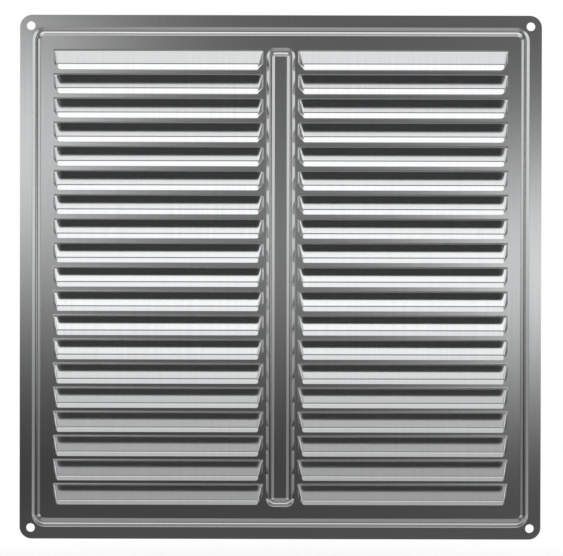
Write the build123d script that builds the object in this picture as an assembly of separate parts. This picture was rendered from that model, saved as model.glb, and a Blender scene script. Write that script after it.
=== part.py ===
from build123d import *
import math
import os

# Hooded vent grille: one square sheet of stainless steel, pressed in one stroke.
# Millimetres. The sheet stands in the XZ plane with its back on Y = 0 and its front towards -Y.
# The origin is the middle of the four screw holes, on the back of the sheet.

# Sheet
plate_width = 300.0
plate_height = 301.5
plate_corner_radius = 7.0
sheet = 0.5

# Screw holes, one in each corner
hole_diameter = 5.0
hole_inset = 6.3

# Raised bead, the same section round the rim and round the middle loop
bead_width = 4.8
bead_flank_angle = 27.0
bead_crest_radius = 2.1

# Rim bead, measured to its centre line
rim_bead_inset = 9.4
rim_bead_bend_radius = 5.2

# Middle loop, measured over its outer edge
loop_width = 16.4
loop_height = 264.0
loop_bend_radius = 2.6

# Louvres: two columns of hoods. A hood is as long as the foot of its ends and as high as root to lip
# edge, and the margin is the flat sheet beside each end that is cut together with it
rows = 19
row_pitch = 13.87
column_spacing = 140.8
first_root = 130.9
hood_length = 120.2
hood_height = 11.4
hood_margin = 0.9

# Section of one hood, from the root down: bend, sloping face, rounded crest, turned-in lip
face_angle = 38.5
lip_angle = 27.0
lip_drop = 2.7
root_radius = 2.0
crest_radius = 0.7

# Closed ends of a hood, and the slanted corners of its mouth
end_angle = 70.0
end_bevel = 0.5
mouth_corner_width = 3.2
mouth_corner_height = 3.6

# Working depth behind the sheet, cut away again
behind = 3.0


def front(height):
    """Y of a point that stands this far in front of the flat sheet."""
    return -sheet - height


def slab(outline):
    """A flat stretch of the sheet from an outline drawn in the XZ plane."""
    return extrude(outline, amount=sheet, dir=(0, -1, 0))


# Bead section: straight flanks tangent to a round crest. Its foot is wider on the back of the sheet
flank = math.radians(bead_flank_angle)
bead_foot = bead_width / 2 + sheet * math.tan(flank / 2)


def bead_curve(inset):
    """The bead's surface from foot to foot, set back from the front by inset, in the XY plane."""
    foot = bead_width / 2 + inset * math.tan(flank / 2)
    level = front(-inset)
    peak = front(foot * math.tan(flank) - inset)
    return FilletPolyline((-foot, level), (0, peak), (foot, level), radius=bead_crest_radius - inset)


def bead_section():
    """Closed section of the bead, as wide as its foot on the back of the sheet."""
    outline = bead_curve(0).edges() + bead_curve(sheet).edges()
    for side in (-1, 1):
        outline.append(Line((side * bead_width / 2, front(0)), (side * bead_foot, front(0))))
        outline.append(Line((side * bead_foot, front(0)), (side * bead_foot, 0)))
    return make_face(outline)


def bead_ring(width, height, bend_radius):
    """A closed bead whose centre line is a rounded rectangle: four runs and four bends."""
    section = bead_section()
    side_run = height - 2 * bend_radius
    cross_run = width - 2 * bend_radius
    pieces = []
    for side in (-1, 1):
        upright = Pos(side * width / 2, 0, -side_run / 2) * section
        pieces.append(extrude(upright, amount=side_run, dir=(0, 0, 1)))
        level = Pos(-cross_run / 2, 0, side * height / 2) * Rot(0, 90, 0) * section
        pieces.append(extrude(level, amount=cross_run, dir=(1, 0, 0)))
        for end in (-1, 1):
            start = Pos(side * width / 2, 0, end * side_run / 2) * section
            bend_axis = Axis((side * cross_run / 2, 0, end * side_run / 2), (0, -side * end, 0))
            pieces.append(revolve(start, bend_axis, 90))
    return pieces


# Hood planes, drawn to the sharp root, crest and end lines that the bends round off
face_slope = math.tan(math.radians(face_angle))
lip_slope = math.tan(math.radians(lip_angle))
end_slope = math.tan(math.radians(end_angle))
root_setback = root_radius * math.tan(math.radians(face_angle / 2))
crest_drop = hood_height - lip_drop
crest_depth = (crest_drop - root_setback) * face_slope


def face_height(drop, inset=0.0):
    """Height of the sloping face, this far below the root."""
    return (drop - root_setback) * face_slope - inset / math.cos(math.radians(face_angle))


def lip_height(drop, inset=0.0):
    """Height of the turned-in lip, this far below the root."""
    return crest_depth - (drop - crest_drop) * lip_slope - inset / math.cos(math.radians(lip_angle))


def hood_points(pairs):
    """Points in the YZ plane from pairs of drop below the root and height in front of the sheet."""
    return [(0, front(height), -drop) for drop, height in pairs]


def along_hood(outline):
    """An outline in the YZ plane drawn out along X, past both ends of a hood."""
    return extrude(make_face(outline), amount=hood_length, dir=(1, 0, 0), both=True)


def between_ends(inset):
    """Everything between the two sloping ends of a hood."""
    foot = hood_length / 2 - inset / math.sin(math.radians(end_angle))
    tall = 2 * crest_depth
    back = foot + behind / end_slope
    top = foot - tall / end_slope
    corners = [(-back, -behind), (-top, tall), (top, tall), (back, -behind)]
    outline = make_face(Polyline(*[(x, front(height), 0) for x, height in corners], close=True))
    return extrude(outline, amount=4 * hood_height, dir=(0, 0, 1), both=True)


def hood_surface(inset):
    """Corners of the pressed surface, set back by inset: flat sheet, root, crest and past the lip."""
    above = row_pitch - hood_height
    below = hood_height + lip_drop
    root = root_setback + inset * math.tan(math.radians(face_angle / 2))
    crest_shift = lip_height(crest_drop, inset) - face_height(crest_drop, inset)
    crest = crest_drop + crest_shift / (face_slope + lip_slope)
    return hood_points([
        (-above, -inset),
        (root, -inset),
        (crest, face_height(crest, inset)),
        (below, lip_height(below, inset)),
    ])


def behind_surface(surface):
    """Everything behind a pressed surface, drawn out along X without its ends."""
    first, last = surface @ 0, surface @ 1
    back = Polyline(last, (0, front(-behind), last.Z), (0, front(-behind), first.Z), first)
    return along_hood(surface.edges() + back.edges())


def bevel(hood, edge_point, slope_normal, side):
    """Take the sharp edge off a hood where a sloping plane turns into one of its ends."""
    end_tilt = math.radians(end_angle)
    end_normal = Vector(side * math.sin(end_tilt), -math.cos(end_tilt), 0)
    normal = (slope_normal + end_normal).normalized()
    return split(hood, bisect_by=Plane(edge_point - normal * end_bevel, z_dir=normal), keep=Keep.BOTTOM)


def hood_solid():
    """The outer form of one hood, from its surface down to behind the sheet."""
    bends = FilletPolyline(*hood_surface(0), radius=[root_radius, crest_radius])
    hood = behind_surface(bends) & between_ends(0)
    face_tilt = math.radians(face_angle)
    lip_tilt = math.radians(lip_angle)
    face_normal = Vector(0, -math.cos(face_tilt), math.sin(face_tilt))
    lip_normal = Vector(0, -math.cos(lip_tilt), -math.sin(lip_tilt))
    for side in (-1, 1):
        crest_end = Vector(
            side * (hood_length / 2 - crest_depth / end_slope), front(crest_depth), -crest_drop
        )
        hood = bevel(hood, crest_end, face_normal, side)
        hood = bevel(hood, crest_end, lip_normal, side)
    return hood


cell_width = hood_length + 2 * hood_margin


def hood_cell():
    """One pitch of the sheet with its hood: pressed above the mouth line and flat below it."""
    half = cell_width / 2
    above = (row_pitch - hood_height) / 2
    below = row_pitch - above
    mouth_end = hood_length / 2
    mouth_top = mouth_corner_height - hood_height
    mouth_line = [
        (half, mouth_top),
        (mouth_end, mouth_top),
        (mouth_end - mouth_corner_width, -hood_height),
        (mouth_corner_width - mouth_end, -hood_height),
        (-mouth_end, mouth_top),
        (-half, mouth_top),
    ]

    def outline(level):
        corners = [(-half, level), (half, level)] + mouth_line
        return make_face(Polyline(*[(x, 0, z) for x, z in corners], close=True))

    above_mouth = outline(above)
    hood = hood_solid() & extrude(above_mouth, amount=2 * crest_depth, dir=(0, -1, 0))
    hollow = behind_surface(Polyline(*hood_surface(sheet))) & between_ends(sheet)
    return slab(above_mouth) + hood - hollow + slab(outline(-below))


rim_line_width = plate_width - 2 * rim_bead_inset
rim_line_height = plate_height - 2 * rim_bead_inset
loop_line_width = loop_width - bead_width
loop_line_height = loop_height - bead_width
louvre_height = rows * row_pitch
louvre_top = first_root + (row_pitch - hood_height) / 2


def beside_line(width, height, bend_radius, side):
    """The outline that a bead's foot leaves on its outer (1) or inner (-1) side."""
    foot = side * bead_foot
    return Plane.XZ * RectangleRounded(width + 2 * foot, height + 2 * foot, bend_radius + foot)


def flats():
    """Flat stretches of the sheet: the rim with its screw holes, the field and the middle panel."""
    rim_line = (rim_line_width, rim_line_height, rim_bead_bend_radius)
    loop_line = (loop_line_width, loop_line_height, loop_bend_radius)
    rim = Plane.XZ * RectangleRounded(plate_width, plate_height, plate_corner_radius)
    rim -= beside_line(*rim_line, 1)
    for x in (-1, 1):
        for z in (-1, 1):
            corner = Pos(x * (plate_width / 2 - hole_inset), 0, z * (plate_height / 2 - hole_inset))
            rim -= corner * (Plane.XZ * Circle(hole_diameter / 2))
    field = beside_line(*rim_line, -1) - beside_line(*loop_line, 1)
    for x in (-1, 1):
        column = Pos(x * column_spacing / 2, 0, louvre_top - louvre_height / 2)
        field -= column * (Plane.XZ * Rectangle(cell_width, louvre_height))
    panel = beside_line(*loop_line, -1)
    return [slab(rim), slab(field), slab(panel)]


def louvre_plate():
    """The whole pressed sheet as one solid."""
    cell = hood_cell()
    hoods = [
        Pos(x * column_spacing / 2, 0, first_root - row * row_pitch) * cell
        for x in (-1, 1)
        for row in range(rows)
    ]
    rim_bead = bead_ring(rim_line_width, rim_line_height, rim_bead_bend_radius)
    loop_bead = bead_ring(loop_line_width, loop_line_height, loop_bend_radius)
    first, *others = flats() + rim_bead + loop_bead + hoods
    return first.fuse(*others)


os.makedirs("parts", exist_ok=True)
plate = louvre_plate()
export_step(plate, "parts/louvre_plate.step")
print("louvre_plate", len(plate.solids()), "solid", round(plate.volume), "mm3", plate.bounding_box())
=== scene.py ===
import math

import bmesh
import bpy
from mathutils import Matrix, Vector


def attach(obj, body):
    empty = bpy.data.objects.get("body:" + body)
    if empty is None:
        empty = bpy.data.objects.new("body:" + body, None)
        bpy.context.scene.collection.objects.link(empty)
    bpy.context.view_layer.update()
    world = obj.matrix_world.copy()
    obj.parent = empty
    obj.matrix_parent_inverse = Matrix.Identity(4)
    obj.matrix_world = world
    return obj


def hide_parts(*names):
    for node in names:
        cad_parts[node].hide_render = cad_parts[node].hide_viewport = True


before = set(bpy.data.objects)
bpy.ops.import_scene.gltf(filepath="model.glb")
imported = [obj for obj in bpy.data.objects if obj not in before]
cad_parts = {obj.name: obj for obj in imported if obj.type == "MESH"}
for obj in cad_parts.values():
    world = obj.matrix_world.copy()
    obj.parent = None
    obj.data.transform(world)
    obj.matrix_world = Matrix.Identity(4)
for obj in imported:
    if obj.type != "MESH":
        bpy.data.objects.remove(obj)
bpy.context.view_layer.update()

# Hooded vent grille: one pressed sheet of brushed stainless steel, standing in the XZ plane.
# Sizes of the sheet are in millimetres, as it would be drawn, and become metres when the mesh is made.
# Sizes of the studio round it are in metres, and its angles are in degrees.
MM = 0.001

# Sheet and screw holes
PLATE_WIDTH = 300.0
PLATE_HEIGHT = 301.5
PLATE_CORNER_RADIUS = 7.0
PLATE_CORNER_POINTS = 12
SHEET = 0.5
HOLE_DIAMETER = 5.0
HOLE_INSET = 6.3
HOLE_POINTS = 40

# Raised bead, the same round the rim and round the middle loop, with a flat ring outside each foot
BEAD_WIDTH = 4.8
BEAD_SLOPE = math.tan(math.radians(27.0))
BEAD_CREST_BLEND = 1.54
BEAD_FOOT_BLEND = 0.07
BEAD_RING = 0.15
BEAD_POINTS = 34

# Centre lines of the rim bead and of the middle loop
RIM_BEAD_INSET = 9.4
RIM_BEAD_BEND = 5.2
RIM_BEND_POINTS = 12
LOOP_LINE_WIDTH = 11.6
LOOP_LINE_HEIGHT = 259.2
LOOP_BEND = 2.6
LOOP_BEND_POINTS = 8

# Louvres, in two columns
ROWS = 19
ROW_PITCH = 13.87
COLUMN_SPACING = 140.8
FIRST_ROOT = 130.9
HOOD_LENGTH = 120.2
HOOD_HEIGHT = 11.4

# One hood: sloping face, crest, turned-in lip and closed ends, with the blends that round its bends
FACE_ANGLE = math.radians(38.5)
LIP_ANGLE = math.radians(18.0)
END_ANGLE = math.radians(70.0)
ROOT_SETBACK = 0.7
CREST_DROP = 8.62
CREST_DEPTH = (CREST_DROP - ROOT_SETBACK) * math.tan(FACE_ANGLE)
ROOT_BLEND = 0.75
CREST_BLEND = 0.55
FOOT_BLEND = 0.9
END_SHARPNESS = 11.0

# Patch of sheet that holds one hood, with its lines across and down closest together at the bends
PATCH_HALF = 61.5
MIDDLE_LINES = [0.0, 18.0, 36.0, 50.0]
END_ZONE = 56.0
END_STEPS = 17
ROOT_ZONE = (-0.4, 1.8)
ROOT_STEPS = 7
FACE_STEPS = 4
CREST_ZONE = (8.0, 9.4)
CREST_STEPS = 8
LIP_MIDDLE = 10.4

# Slanted corners of the hood's mouth, and the drop from which lines crowd together to follow them
MOUTH_CORNER_WIDTH = 3.2
MOUTH_CORNER_HEIGHT = 3.6
SQUEEZE_FROM = 6.5

# Mesh finish: points closer than the weld become one, and edges past the sharp angle stay crisp
WELD = 0.003
SHARP_ANGLE = math.radians(40.0)


def linear(code):
    """A colour written as an sRGB hex value, as the linear values that the shaders take."""
    values = [int(code[i : i + 2], 16) / 255 for i in (1, 3, 5)]
    return (*(v / 12.92 if v <= 0.04045 else ((v + 0.055) / 1.055) ** 2.4 for v in values), 1.0)


def add(tree, kind, inputs=None, **settings):
    """Add a node with its settings; an input is a value, a node or socket to link, or a list of them."""
    node = tree.nodes.new(kind)
    for name, value in settings.items():
        setattr(node, name, value)
    for name, value in (inputs or {}).items():
        socket = node.inputs[name]
        for source in value if isinstance(value, list) else [value]:
            if isinstance(source, bpy.types.Node):
                source = next(output for output in source.outputs if output.enabled)
            if isinstance(source, bpy.types.NodeSocket):
                tree.links.new(source, socket)
            else:
                socket.default_value = source
    return node


def bare_material(name):
    """A new material with an empty node tree, and that tree."""
    material = bpy.data.materials.new(name)
    material.use_nodes = True
    material.node_tree.nodes.clear()
    return material, material.node_tree


def placed(name, data):
    """A new object, linked into the scene."""
    thing = bpy.data.objects.new(name, data)
    bpy.context.scene.collection.objects.link(thing)
    return thing


def finished_mesh(name, shape):
    """A new mesh from a shape that is complete and no longer needed."""
    mesh = bpy.data.meshes.new(name)
    shape.to_mesh(mesh)
    shape.free()
    return mesh


def steps(start, end, count):
    """Evenly spaced values from start up to end, without end itself."""
    return [start + (end - start) * i / count for i in range(count)]


def mouth_drop(x):
    """How far below the root the sheet is cut for the mouth, at this distance from the hood's middle."""
    slant = abs(x) - (HOOD_LENGTH / 2 - MOUTH_CORNER_WIDTH)
    return HOOD_HEIGHT - max(slant, 0.0) * MOUTH_CORNER_HEIGHT / MOUTH_CORNER_WIDTH


def louvre_patch():
    """Flat patch of sheet for one louvre, cut along the mouth, with lines closest where it bends."""
    half = MIDDLE_LINES + steps(END_ZONE, PATCH_HALF, END_STEPS) + [PATCH_HALF]
    columns = [-x for x in reversed(half[1:])] + half
    # The cut ends two lines before each side of the patch
    slit_end = half[-3]
    top = (HOOD_HEIGHT - ROW_PITCH) / 2
    bottom = top + ROW_PITCH
    drops = [top] + steps(*ROOT_ZONE, ROOT_STEPS)
    drops += steps(ROOT_ZONE[1], CREST_ZONE[0], FACE_STEPS) + steps(*CREST_ZONE, CREST_STEPS)
    drops += [CREST_ZONE[1], LIP_MIDDLE, HOOD_HEIGHT]
    shape = bmesh.new()
    pressed = shape.verts.layers.float.new("pressed")
    seam = shape.verts.layers.float.new("seam")

    def point(x, drop, lift, edge):
        vert = shape.verts.new((x, -drop, 0.0))
        vert[pressed] = lift
        vert[seam] = edge
        return vert

    # Each line down has a stack of points that are pressed and one below the cut that stays flat
    lines = []
    for x in columns:
        side = float(abs(x) == PATCH_HALF)
        mouth = mouth_drop(min(abs(x), slit_end))
        squeeze = (mouth - SQUEEZE_FROM) / (HOOD_HEIGHT - SQUEEZE_FROM)
        line = []
        for drop in drops:
            if drop > SQUEEZE_FROM:
                drop = SQUEEZE_FROM + (drop - SQUEEZE_FROM) * squeeze
            line.append(point(x, drop, 1.0, max(side, float(drop == top))))
        joined = abs(x) >= slit_end
        below = line[-1] if joined else point(x, mouth, 0.0, 0.0)
        lines.append((line, [below, point(x, bottom, 0.0, 1.0)]))
    for left, right in zip(lines, lines[1:]):
        for stack_left, stack_right in zip(left, right):
            for i in range(len(stack_left) - 1):
                shape.faces.new(
                    (stack_left[i + 1], stack_right[i + 1], stack_right[i], stack_left[i])
                )
    return finished_mesh("louvre_patch", shape)


def pressed_sheet_tree(steel):
    """Geometry Nodes that press the louvre patch, repeat it, run the beads and fill the flats between."""
    tree = bpy.data.node_groups.new("pressed_sheet", "GeometryNodeTree")
    tree.interface.new_socket("Patch", in_out="INPUT", socket_type="NodeSocketGeometry")
    sizes = {
        "Plate width": PLATE_WIDTH,
        "Plate height": PLATE_HEIGHT,
        "Plate corner radius": PLATE_CORNER_RADIUS,
        "Sheet": SHEET,
        "Hole radius": HOLE_DIAMETER / 2,
        "Hole spacing across": PLATE_WIDTH - 2 * HOLE_INSET,
        "Hole spacing up": PLATE_HEIGHT - 2 * HOLE_INSET,
        "Bead slope": BEAD_SLOPE,
        "Bead peak": BEAD_WIDTH / 2 * BEAD_SLOPE,
        "Bead crest blend": BEAD_CREST_BLEND,
        "Bead foot blend": BEAD_FOOT_BLEND,
        "Bead reach": BEAD_WIDTH / 2 + BEAD_RING,
        "Rim line width": PLATE_WIDTH - 2 * RIM_BEAD_INSET,
        "Rim line height": PLATE_HEIGHT - 2 * RIM_BEAD_INSET,
        "Rim bend": RIM_BEAD_BEND,
        "Loop line width": LOOP_LINE_WIDTH,
        "Loop line height": LOOP_LINE_HEIGHT,
        "Loop bend": LOOP_BEND,
        "Rows": ROWS,
        "Row span": (ROWS - 1) * ROW_PITCH,
        "Column spacing": COLUMN_SPACING,
        "Field middle": FIRST_ROOT - (ROWS - 1) * ROW_PITCH / 2,
        "Hood half length": HOOD_LENGTH / 2,
        "Face slope": math.tan(FACE_ANGLE),
        "Lip slope": math.tan(LIP_ANGLE),
        "End slope": math.tan(END_ANGLE),
        "Root setback": ROOT_SETBACK,
        "Crest drop": CREST_DROP,
        "Crest depth": CREST_DEPTH,
        "Root blend": ROOT_BLEND,
        "Crest blend": CREST_BLEND,
        "Foot blend": FOOT_BLEND,
        "End sharpness": END_SHARPNESS,
    }
    values = {}
    for name, value in sizes.items():
        kind = "NodeSocketInt" if isinstance(value, int) else "NodeSocketFloat"
        socket = tree.interface.new_socket(name, in_out="INPUT", socket_type=kind)
        values[socket.identifier] = value
    tree.interface.new_socket("Sheet", in_out="OUTPUT", socket_type="NodeSocketGeometry")
    given = add(tree, "NodeGroupInput").outputs

    # Roof of the hood: the face rises from the root and meets the lip in the crest
    place = add(tree, "ShaderNodeSeparateXYZ", {0: add(tree, "GeometryNodeInputPosition")})
    drop = add(tree, "ShaderNodeMath", {0: place.outputs["Y"], 1: -1.0}, operation="MULTIPLY")
    run = add(tree, "ShaderNodeMath", {0: drop, 1: given["Root setback"]}, operation="SUBTRACT")
    face = add(tree, "ShaderNodeMath", {0: run, 1: given["Face slope"]}, operation="MULTIPLY")
    face = add(
        tree,
        "ShaderNodeMath",
        {0: face, 1: 0.0, 2: given["Root blend"]},
        operation="SMOOTH_MAX",
    )
    past = add(tree, "ShaderNodeMath", {0: given["Crest drop"], 1: drop}, operation="SUBTRACT")
    lip = add(
        tree,
        "ShaderNodeMath",
        {0: past, 1: given["Lip slope"], 2: given["Crest depth"]},
        operation="MULTIPLY_ADD",
    )
    roof = add(
        tree,
        "ShaderNodeMath",
        {0: face, 1: lip, 2: given["Crest blend"]},
        operation="SMOOTH_MIN",
    )

    # Closed ends, rounded into the roof, with a hair added so that flat sheet isn't divided by zero
    aside = add(tree, "ShaderNodeMath", {0: place.outputs["X"]}, operation="ABSOLUTE")
    inside = add(tree, "ShaderNodeMath", {0: given["Hood half length"], 1: aside}, operation="SUBTRACT")
    end = add(tree, "ShaderNodeMath", {0: inside, 1: given["End slope"]}, operation="MULTIPLY")
    end = add(
        tree,
        "ShaderNodeMath",
        {0: end, 1: 0.0, 2: given["Foot blend"]},
        operation="SMOOTH_MAX",
    )
    roof_power = add(tree, "ShaderNodeMath", {0: roof, 1: given["End sharpness"]}, operation="POWER")
    end_power = add(tree, "ShaderNodeMath", {0: end, 1: given["End sharpness"]}, operation="POWER")
    both = add(tree, "ShaderNodeMath", {0: roof_power, 1: end_power}, operation="ADD")
    root = add(tree, "ShaderNodeMath", {0: 1.0, 1: given["End sharpness"]}, operation="DIVIDE")
    norm = add(tree, "ShaderNodeMath", {0: both, 1: root}, operation="POWER")
    hair = 1e-4
    norm = add(tree, "ShaderNodeMath", {0: norm, 1: hair}, operation="ADD")
    rise = add(tree, "ShaderNodeMath", {0: roof, 1: end}, operation="MULTIPLY")
    rise = add(tree, "ShaderNodeMath", {0: rise, 1: norm}, operation="DIVIDE")
    pressed = add(tree, "GeometryNodeInputNamedAttribute", {"Name": "pressed"}, data_type="FLOAT")
    rise = add(tree, "ShaderNodeMath", {0: rise, 1: pressed}, operation="MULTIPLY")
    lift = add(tree, "ShaderNodeCombineXYZ", {"Z": rise})
    hood = add(tree, "GeometryNodeSetPosition", {"Geometry": given["Patch"], "Offset": lift})

    # Two columns of louvres
    places = add(
        tree,
        "GeometryNodeMeshGrid",
        {
            "Size X": given["Column spacing"],
            "Size Y": given["Row span"],
            "Vertices X": 2,
            "Vertices Y": given["Rows"],
        },
    )
    middle = add(tree, "ShaderNodeCombineXYZ", {"Y": given["Field middle"]})
    places = add(tree, "GeometryNodeSetPosition", {"Geometry": places, "Offset": middle})
    louvres = add(tree, "GeometryNodeInstanceOnPoints", {"Points": places, "Instance": hood})
    louvres = add(tree, "GeometryNodeRealizeInstances", {"Geometry": louvres})
    louvres = add(tree, "GeometryNodeMergeByDistance", {"Geometry": louvres, "Distance": WELD})

    # Bead section: two straight flanks under a round crest, drawn past its feet so that its edges lie flat
    across = add(tree, "ShaderNodeCombineXYZ", {"X": given["Bead reach"]})
    back = add(tree, "ShaderNodeVectorMath", {0: across, "Scale": -1.0}, operation="SCALE")
    section = add(tree, "GeometryNodeCurvePrimitiveLine", {"Start": back, "End": across})
    section = add(tree, "GeometryNodeResampleCurve", {"Curve": section, "Count": BEAD_POINTS})
    offset = add(tree, "ShaderNodeSeparateXYZ", {0: add(tree, "GeometryNodeInputPosition")})
    lean = add(tree, "ShaderNodeMath", {0: offset, 1: given["Bead slope"]}, operation="MULTIPLY")
    rising = add(tree, "ShaderNodeMath", {0: given["Bead peak"], 1: lean}, operation="ADD")
    falling = add(tree, "ShaderNodeMath", {0: given["Bead peak"], 1: lean}, operation="SUBTRACT")
    swell = add(
        tree,
        "ShaderNodeMath",
        {0: rising, 1: falling, 2: given["Bead crest blend"]},
        operation="SMOOTH_MIN",
    )
    swell = add(
        tree,
        "ShaderNodeMath",
        {0: swell, 1: 0.0, 2: given["Bead foot blend"]},
        operation="SMOOTH_MAX",
    )
    swell = add(tree, "ShaderNodeMath", {0: swell, 1: -1.0}, operation="MULTIPLY")
    swell = add(tree, "ShaderNodeCombineXYZ", {"Y": swell})
    section = add(tree, "GeometryNodeSetPosition", {"Geometry": section, "Offset": swell})

    # Rounded outlines: the edge of the sheet and the two bead lines
    outlines = []
    for width, height, bend, count in (
        ("Plate width", "Plate height", "Plate corner radius", PLATE_CORNER_POINTS),
        ("Rim line width", "Rim line height", "Rim bend", RIM_BEND_POINTS),
        ("Loop line width", "Loop line height", "Loop bend", LOOP_BEND_POINTS),
    ):
        line = add(
            tree,
            "GeometryNodeCurvePrimitiveQuadrilateral",
            {"Width": given[width], "Height": given[height]},
        )
        line = add(
            tree,
            "GeometryNodeFilletCurve",
            {"Curve": line, "Count": count, "Radius": given[bend]},
            mode="POLY",
        )
        outlines.append(add(tree, "GeometryNodeSetCurveNormal", {"Curve": line}, mode="Z_UP"))
    plate_edge, rim_line, loop_line = outlines
    beads = [
        add(tree, "GeometryNodeCurveToMesh", {"Curve": line, "Profile Curve": section})
        for line in (rim_line, loop_line)
    ]

    # Screw holes
    corners = add(
        tree,
        "GeometryNodeMeshGrid",
        {
            "Size X": given["Hole spacing across"],
            "Size Y": given["Hole spacing up"],
            "Vertices X": 2,
            "Vertices Y": 2,
        },
    )
    hole = add(
        tree,
        "GeometryNodeCurvePrimitiveCircle",
        {"Resolution": HOLE_POINTS, "Radius": given["Hole radius"]},
    )
    holes = add(tree, "GeometryNodeInstanceOnPoints", {"Points": corners, "Instance": hole})
    holes = add(tree, "GeometryNodeRealizeInstances", {"Geometry": holes})

    # Flat sheet between all of these edges; an edge on the seam has both its ends marked, so it reads 1
    sides = add(tree, "GeometryNodeInputMeshEdgeNeighbors")
    is_open = add(tree, "FunctionNodeCompare", {2: sides, 3: 1}, data_type="INT", operation="EQUAL")
    seam = add(tree, "GeometryNodeInputNamedAttribute", {"Name": "seam"}, data_type="FLOAT")
    nearly_one = 0.99
    is_seam = add(tree, "FunctionNodeCompare", {0: seam, 1: nearly_one}, operation="GREATER_EQUAL")
    is_rim = add(tree, "FunctionNodeBooleanMath", {0: is_open, 1: is_seam}, operation="AND")
    edges = [plate_edge, holes]
    edges.append(add(tree, "GeometryNodeMeshToCurve", {"Mesh": louvres, "Selection": is_rim}))
    for bead in beads:
        edges.append(add(tree, "GeometryNodeMeshToCurve", {"Mesh": bead, "Selection": is_open}))
    edges = add(tree, "GeometryNodeJoinGeometry", {"Geometry": edges})
    flats = add(tree, "GeometryNodeFillCurve", {"Curve": edges}, mode="TRIANGLES")

    # One welded sheet, stood up in metres, with its own plan as UV map
    whole = add(tree, "GeometryNodeJoinGeometry", {"Geometry": [louvres, *beads, flats]})
    whole = add(tree, "GeometryNodeMergeByDistance", {"Geometry": whole, "Distance": WELD})
    depth = add(tree, "ShaderNodeMath", {0: given["Sheet"], 1: -MM}, operation="MULTIPLY")
    depth = add(tree, "ShaderNodeCombineXYZ", {"Y": depth})
    whole = add(
        tree,
        "GeometryNodeTransform",
        {
            "Geometry": whole,
            "Translation": depth,
            "Rotation": (math.pi / 2, 0.0, 0.0),
            "Scale": (MM, MM, MM),
        },
    )
    stood = add(tree, "ShaderNodeSeparateXYZ", {0: add(tree, "GeometryNodeInputPosition")})
    plan = add(tree, "ShaderNodeCombineXYZ", {"X": stood.outputs["X"], "Y": stood.outputs["Z"]})
    whole = add(
        tree,
        "GeometryNodeStoreNamedAttribute",
        {"Geometry": whole, "Name": "UVMap", "Value": plan},
        data_type="FLOAT2",
        domain="CORNER",
    )
    whole = add(tree, "GeometryNodeSetShadeSmooth", {"Geometry": whole})
    whole = add(tree, "GeometryNodeRealizeInstances", {"Geometry": whole})
    whole = add(tree, "GeometryNodeSetMaterial", {"Geometry": whole, "Material": steel})
    add(tree, "NodeGroupOutput", {"Sheet": whole})
    return tree, values


def settled_mesh(piece):
    """The piece's mesh with its modifiers worked in."""
    depsgraph = bpy.context.evaluated_depsgraph_get()
    return bpy.data.meshes.new_from_object(piece.evaluated_get(depsgraph))


def louvre_sheet(steel):
    """The pressed sheet: front from Geometry Nodes, thickness from Solidify, normals true to the flats."""
    piece = placed("louvre_sheet", louvre_patch())
    tree, values = pressed_sheet_tree(steel)
    press = piece.modifiers.new("press", "NODES")
    press.node_group = tree
    for identifier, value in values.items():
        press[identifier] = value
    front = settled_mesh(piece)
    piece.modifiers.remove(press)

    # All faces point to the front, so that the thickness is added behind them
    shape = bmesh.new()
    shape.from_mesh(front)
    bmesh.ops.recalc_face_normals(shape, faces=shape.faces)
    if sum(face.normal.y * face.calc_area() for face in shape.faces) > 0:
        bmesh.ops.reverse_faces(shape, faces=shape.faces)
    shape.to_mesh(front)
    shape.free()
    piece.data = front
    thick = piece.modifiers.new("thickness", "SOLIDIFY")
    thick.thickness = SHEET * MM
    thick.offset = -1.0
    thick.use_even_offset = True
    whole = settled_mesh(piece)
    piece.modifiers.remove(thick)

    # Large faces set the normals at the bends, so no shading creeps into the flats
    whole.set_sharp_from_angle(angle=SHARP_ANGLE)
    piece.data = whole
    even = piece.modifiers.new("flat_normals", "WEIGHTED_NORMAL")
    even.keep_sharp = True
    shaded = settled_mesh(piece)
    piece.modifiers.remove(even)
    piece.data = shaded
    return piece


# Brushed grain: its real lines are finer than a pixel, so they are drawn about as wide as one
GRAIN_WIDTH = 0.7
GRAIN_LENGTH = 70.0
GRAIN_TONES = ((0.3, "#C6C7C8"), (0.7, "#CCCDCE"))


def brushed_stainless():
    """Stainless sheet with a vertical brushed grain: soft, sideways-spread reflections, fine grey lines."""
    steel, tree = bare_material("brushed_stainless_steel")
    coord = add(tree, "ShaderNodeTexCoord")
    across = 1 / (GRAIN_WIDTH * MM)
    along = 1 / (GRAIN_LENGTH * MM)
    grain = add(
        tree,
        "ShaderNodeMapping",
        {"Vector": coord.outputs["Object"], "Scale": (across, along, along)},
    )
    lines = add(tree, "ShaderNodeTexNoise", {"Vector": grain, "Scale": 1.0, "Detail": 2.0})
    tone = add(tree, "ShaderNodeValToRGB", {"Fac": lines})
    for stop, (position, grey) in zip(tone.color_ramp.elements, GRAIN_TONES):
        stop.position = position
        stop.color = linear(grey)
    tangent = add(tree, "ShaderNodeTangent", direction_type="UV_MAP", uv_map="UVMap")
    shader = add(
        tree,
        "ShaderNodeBsdfPrincipled",
        {
            "Base Color": tone.outputs["Color"],
            "Metallic": 1.0,
            "Roughness": 0.15,
            "Anisotropic": 0.5,
            "Tangent": tangent,
        },
    )
    add(tree, "ShaderNodeOutputMaterial", {"Surface": shader})
    return steel


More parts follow.
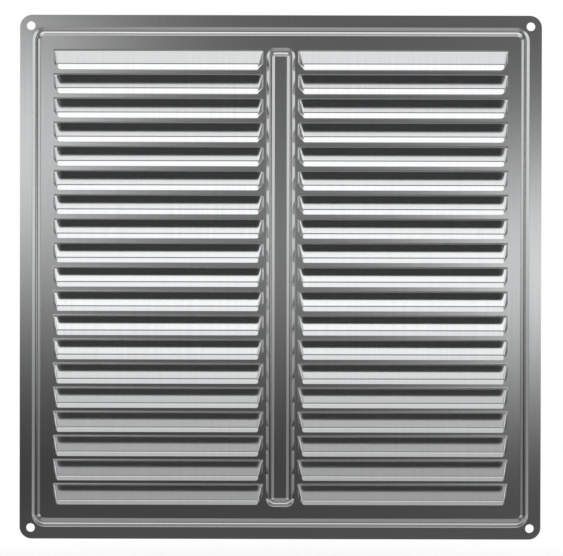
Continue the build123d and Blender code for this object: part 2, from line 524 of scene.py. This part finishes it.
# Light tent round the front: grey levels by height angle, from straight down to straight up
TENT_RADIUS = 8.0
TENT_SEGMENTS = 64
TENT_LEVELS = (
    (-90, 0.40),
    (-52, 0.40),
    (-45, 0.66),
    (-42, 1.12),
    (-39, 1.40),
    (-35, 1.75),
    (-28, 1.75),
    (-21, 0.90),
    (-16, 0.35),
    (-11, 0.05),
    (-8, 0.05),
    (-5, 0.11),
    (-1, 0.25),
    (3, 0.15),
    (8, 0.11),
    (16, 0.30),
    (30, 0.40),
    (51, 0.45),
    (66, 0.52),
    (71.2, 0.50),
    (73.0, 2.00),
    (77, 1.50),
    (81, 1.22),
    (90, 1.15),
)
TENT_FULL = 2.0

# Side angles over which the levels fade, and the share that is left
LEVEL_FADE = (14.0, 24.0)
LEVEL_FADED = 0.25

# Slopes up or down over which floor and roof spread round to the sides, and their share there
SPREAD_FADE = (15.0, 35.0)
SPREAD_SHARE = 0.6

# Side walls: side angles over which they begin, and slopes over which they brighten from the low share
WALL_START = (30.0, 46.0)
WALL_BRIGHTEN = (-8.0, 2.0)
WALL_LOW = 0.25

# Soft windows beside the camera: side angle, height angle, half widths of both, brightness
TENT_WINDOWS = (
    (-13.0, 3.8, 5.6, 5.0, 1.55),
    (13.0, -1.0, 5.8, 4.5, 1.6),
)


def tent_cloth():
    """Glowing tent cloth: bright floor, sides and roof, and a dark opening for the camera."""
    cloth, tree = bare_material("tent_cloth")
    coord = add(tree, "ShaderNodeTexCoord")
    way = add(tree, "ShaderNodeVectorMath", {0: coord.outputs["Object"]}, operation="NORMALIZE")
    way = add(tree, "ShaderNodeSeparateXYZ", {0: way})
    ahead = add(tree, "ShaderNodeMath", {0: way.outputs["Y"], 1: -1.0}, operation="MULTIPLY")
    height = add(tree, "ShaderNodeMath", {0: way.outputs["Z"], 1: ahead}, operation="ARCTAN2")
    height = add(tree, "ShaderNodeMath", {0: height}, operation="DEGREES")
    side = add(tree, "ShaderNodeMath", {0: way.outputs["X"]}, operation="ARCSINE")
    side = add(tree, "ShaderNodeMath", {0: side}, operation="DEGREES")
    slope = add(tree, "ShaderNodeMath", {0: way.outputs["Z"]}, operation="ARCSINE")
    slope = add(tree, "ShaderNodeMath", {0: slope}, operation="DEGREES")

    # Grey levels by height, faded to the sides except towards floor and roof
    share = add(tree, "ShaderNodeMapRange", {"Value": height, "From Min": -90.0, "From Max": 90.0})
    level = add(tree, "ShaderNodeValToRGB", {"Fac": share.outputs["Result"]})
    stops = level.color_ramp.elements
    while len(stops) < len(TENT_LEVELS):
        stops.new(0.5)
    for stop, (angle, grey) in zip(stops, TENT_LEVELS):
        stop.position = (angle + 90) / 180
        stop.color = [grey / TENT_FULL] * 3 + [1.0]
    wide = add(tree, "ShaderNodeMath", {0: side}, operation="ABSOLUTE")
    near = add(
        tree,
        "ShaderNodeMapRange",
        {
            "Value": wide,
            "From Min": LEVEL_FADE[0],
            "From Max": LEVEL_FADE[1],
            "To Min": 1.0,
            "To Max": LEVEL_FADED,
        },
        interpolation_type="SMOOTHSTEP",
    )
    steep = add(
        tree,
        "ShaderNodeMapRange",
        {
            "Value": add(tree, "ShaderNodeMath", {0: slope}, operation="ABSOLUTE"),
            "From Min": SPREAD_FADE[0],
            "From Max": SPREAD_FADE[1],
            "To Max": SPREAD_SHARE,
        },
        interpolation_type="SMOOTHSTEP",
    )
    across = add(
        tree,
        "ShaderNodeMath",
        {0: near.outputs["Result"], 1: steep.outputs["Result"]},
        operation="MAXIMUM",
    )
    total = add(tree, "ShaderNodeMath", {0: level.outputs["Color"], 1: TENT_FULL}, operation="MULTIPLY")
    total = add(tree, "ShaderNodeMath", {0: total, 1: across}, operation="MULTIPLY")

    # Side walls
    flank = add(
        tree,
        "ShaderNodeMapRange",
        {"Value": wide, "From Min": WALL_START[0], "From Max": WALL_START[1]},
        interpolation_type="SMOOTHSTEP",
    )
    wall = add(
        tree,
        "ShaderNodeMapRange",
        {
            "Value": slope,
            "From Min": WALL_BRIGHTEN[0],
            "From Max": WALL_BRIGHTEN[1],
            "To Min": WALL_LOW,
            "To Max": 1.0,
        },
        interpolation_type="SMOOTHSTEP",
    )
    total = add(
        tree,
        "ShaderNodeMath",
        {0: flank.outputs["Result"], 1: wall.outputs["Result"], 2: total},
        operation="MULTIPLY_ADD",
    )

    # Soft windows, bell-shaped both ways
    for side_angle, height_angle, side_half, height_half, bright in TENT_WINDOWS:
        aside = add(tree, "ShaderNodeMath", {0: side, 1: side_angle}, operation="SUBTRACT")
        aside = add(tree, "ShaderNodeMath", {0: aside, 1: side_half}, operation="DIVIDE")
        above = add(tree, "ShaderNodeMath", {0: height, 1: height_angle}, operation="SUBTRACT")
        above = add(tree, "ShaderNodeMath", {0: above, 1: height_half}, operation="DIVIDE")
        away = add(tree, "ShaderNodeMath", {0: aside, 1: aside}, operation="MULTIPLY")
        away = add(tree, "ShaderNodeMath", {0: above, 1: above, 2: away}, operation="MULTIPLY_ADD")
        bell = add(tree, "ShaderNodeMath", {0: math.exp(-1.0), 1: away}, operation="POWER")
        total = add(tree, "ShaderNodeMath", {0: bell, 1: bright, 2: total}, operation="MULTIPLY_ADD")
    glow = add(tree, "ShaderNodeEmission", {"Strength": total})
    add(tree, "ShaderNodeOutputMaterial", {"Surface": glow})
    return cloth


def light_tent():
    """Front half of a round light tent, which the camera looks through."""
    shape = bmesh.new()
    bmesh.ops.create_uvsphere(
        shape, u_segments=TENT_SEGMENTS, v_segments=TENT_SEGMENTS // 2, radius=TENT_RADIUS
    )
    just_behind = 0.01
    behind = [vert for vert in shape.verts if vert.co.y > just_behind]
    bmesh.ops.delete(shape, geom=behind, context="VERTS")
    bmesh.ops.reverse_faces(shape, faces=shape.faces)
    mesh = finished_mesh("light_tent", shape)
    mesh.materials.append(tent_cloth())
    tent = placed("light_tent", mesh)
    tent.visible_camera = False
    tent.visible_shadow = False
    return tent


# Card behind the part, dark grey as painted shade: the hoods mirror it through their mouths in place of the
# shade inside them
CARD_BEHIND = 1.5
CARD_WIDTH = 2.0
CARD_HEIGHT = 1.4
PAINTED_SHADE_GREY = "#626262"


def painted_shade_card():
    """Dark grey matt card some way behind the part, as painted shade: the hollow hoods mirror it through
    their mouths, so their insides look shaded.
    """
    wide = CARD_WIDTH / 2
    tall = CARD_HEIGHT / 2
    outline = ((-wide, -tall), (wide, -tall), (wide, tall), (-wide, tall))
    mesh = bpy.data.meshes.new("painted_shade_card")
    mesh.from_pydata([(x, CARD_BEHIND, z) for x, z in outline], [], [(0, 1, 2, 3)])
    paper, tree = bare_material("painted_shade_card_grey")
    # Painted shade: this grey stands in for the shade inside the hoods
    matt = add(tree, "ShaderNodeBsdfDiffuse", {"Color": linear(PAINTED_SHADE_GREY)})
    add(tree, "ShaderNodeOutputMaterial", {"Surface": matt})
    mesh.materials.append(paper)
    card = placed("painted_shade_card", mesh)
    card.visible_camera = False
    card.visible_shadow = False
    return card


# Floor below the part, and the distances from its middle over which it fades out
FLOOR_RADIUS = 1.6
FLOOR_LEVEL = -0.42
FLOOR_SEGMENTS = 96
FLOOR_FADE = (0.7, 1.55)
FLOOR_WHITE = "#F4F4F3"


def pale_floor():
    """Pale matt floor below the part, fading out into the white background."""
    shape = bmesh.new()
    bmesh.ops.create_circle(shape, cap_ends=True, segments=FLOOR_SEGMENTS, radius=FLOOR_RADIUS)
    bmesh.ops.translate(shape, verts=shape.verts, vec=(0.0, 0.0, FLOOR_LEVEL))
    mesh = finished_mesh("floor", shape)
    matt, tree = bare_material("floor_matt_white")
    coord = add(tree, "ShaderNodeTexCoord")
    flat = add(
        tree,
        "ShaderNodeVectorMath",
        {0: coord.outputs["Object"], 1: (1.0, 1.0, 0.0)},
        operation="MULTIPLY",
    )
    away = add(tree, "ShaderNodeVectorMath", {0: flat}, operation="LENGTH")
    fade = add(
        tree,
        "ShaderNodeMapRange",
        {"Value": away.outputs["Value"], "From Min": FLOOR_FADE[0], "From Max": FLOOR_FADE[1]},
        interpolation_type="SMOOTHSTEP",
    )
    paint = add(tree, "ShaderNodeBsdfDiffuse", {"Color": linear(FLOOR_WHITE)})
    clear = add(tree, "ShaderNodeBsdfTransparent")
    mixed = add(tree, "ShaderNodeMixShader", {0: fade.outputs["Result"], 1: paint, 2: clear})
    add(tree, "ShaderNodeOutputMaterial", {"Surface": mixed})
    mesh.materials.append(matt)
    floor = placed("floor", mesh)
    floor.visible_glossy = False
    return floor


# Strength of the white surroundings as a fill light, and where they are seen or mirrored
WORLD_FILL = 0.8
WORLD_SEEN = 1.0


def white_world():
    """White surroundings behind the part, and a soft even fill."""
    world = bpy.data.worlds.new("white_studio")
    world.use_nodes = True
    tree = world.node_tree
    tree.nodes.clear()
    path = add(tree, "ShaderNodeLightPath")
    seen = add(
        tree,
        "ShaderNodeMath",
        {0: path.outputs["Is Camera Ray"], 1: path.outputs["Is Glossy Ray"]},
        operation="MAXIMUM",
    )
    seen = add(
        tree,
        "ShaderNodeMath",
        {0: seen, 1: path.outputs["Is Transmission Ray"]},
        operation="MAXIMUM",
    )
    strength = add(
        tree,
        "ShaderNodeMapRange",
        {"Value": seen, "To Min": WORLD_FILL, "To Max": WORLD_SEEN},
    )
    glow = add(
        tree,
        "ShaderNodeBackground",
        {"Color": linear("#FFFFFF"), "Strength": strength.outputs["Result"]},
    )
    add(tree, "ShaderNodeOutputWorld", {"Surface": glow})
    bpy.context.scene.world = world


# Lamp above the left shoulder
LAMP_SIZE = 0.9
LAMP_POWER = 12.0
LAMP_PLACE = (-0.7, -0.9, 1.5)


def soft_lamp():
    """One large soft lamp, aimed at the part, for the shadow on the floor."""
    lamp = bpy.data.lights.new("soft_lamp", "AREA")
    lamp.shape = "SQUARE"
    lamp.size = LAMP_SIZE
    lamp.energy = LAMP_POWER
    holder = placed("soft_lamp", lamp)
    holder.location = LAMP_PLACE
    holder.rotation_mode = "QUATERNION"
    holder.rotation_quaternion = (-Vector(LAMP_PLACE)).to_track_quat("-Z", "Y")
    holder.visible_camera = False
    holder.visible_glossy = False


# Camera: in front, level with the eighth row, in millimetres, for a picture of 563 by 556 pixels
IMAGE_WIDTH = 563
IMAGE_HEIGHT = 556
PIXELS_PER_MM = 1.738
CAMERA_DISTANCE = 970.0
CAMERA_ABOVE = 25.0
PLATE_MIDDLE_PIXEL = (280.6, 277.4)
SENSOR = 36.0
CAMERA_DOWN = math.radians(0.34)
CAMERA_ROLL = math.radians(-0.13)


def photo_camera():
    """The camera at the photograph's place, with the shift that its framing needs."""
    data = bpy.data.cameras.new("camera")
    data.sensor_width = SENSOR
    seen_width = IMAGE_WIDTH / PIXELS_PER_MM
    data.lens = SENSOR * CAMERA_DISTANCE / seen_width
    right = (IMAGE_WIDTH / 2 - PLATE_MIDDLE_PIXEL[0]) / PIXELS_PER_MM
    up = (PLATE_MIDDLE_PIXEL[1] - IMAGE_HEIGHT / 2) / PIXELS_PER_MM
    data.shift_x = right / seen_width
    data.shift_y = (up - CAMERA_ABOVE + CAMERA_DISTANCE * math.tan(CAMERA_DOWN)) / seen_width
    camera = placed("camera", data)
    camera.location = (0.0, -(CAMERA_DISTANCE + SHEET) * MM, CAMERA_ABOVE * MM)
    camera.rotation_euler = (math.pi / 2 - CAMERA_DOWN, CAMERA_ROLL, 0.0)
    bpy.context.scene.camera = camera


steel = brushed_stainless()
sheet = louvre_sheet(steel)
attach(sheet, "root")
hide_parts("louvre_plate")

light_tent()
painted_shade_card()
pale_floor()
white_world()
soft_lamp()
photo_camera()
bpy.context.scene.view_settings.view_transform = "Standard"
